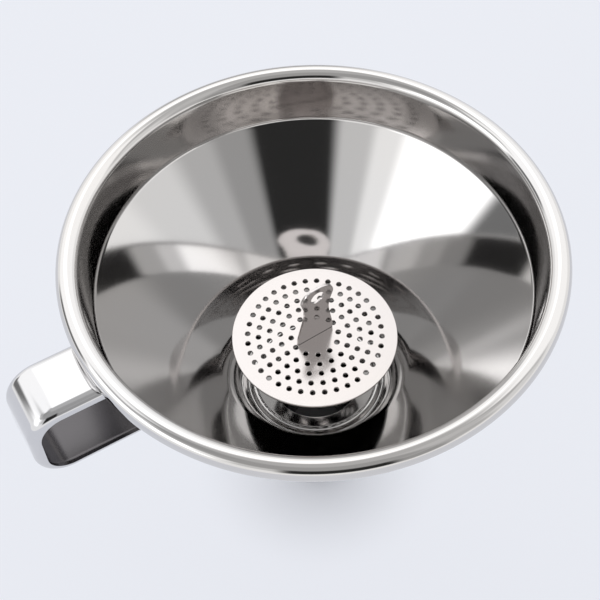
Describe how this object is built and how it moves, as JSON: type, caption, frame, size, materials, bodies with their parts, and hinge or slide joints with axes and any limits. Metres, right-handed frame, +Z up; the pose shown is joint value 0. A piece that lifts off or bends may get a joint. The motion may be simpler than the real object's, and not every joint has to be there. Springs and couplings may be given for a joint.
{
  "type": "strainer funnel",
  "caption": "Polished sheet-steel funnel with a rolled rim, a strap handle at the side, a tapered spout and a loose perforated strainer disc with a lifting tab.",
  "frame": {"origin": "centre of the spout's lower end", "axes": "+Z up along the spout's axis, towards the rim; -X towards the handle"},
  "size_m": [0.1608, 0.1406, 0.1216],
  "materials": {
    "bowl_steel": "mirror-polished stainless steel",
    "spout_steel": "polished stainless steel",
    "handle_steel": "polished stainless steel",
    "disc_steel": "polished stainless steel, slightly satin",
    "tab_steel": "polished stainless steel"
  },
  "bodies": {
    "root": {"funnel_bowl": "bowl_steel", "spout": "spout_steel", "handle_strap": "handle_steel", "strainer_disc": "disc_steel", "strainer_tab": "tab_steel"}
  },
  "joints": []
}
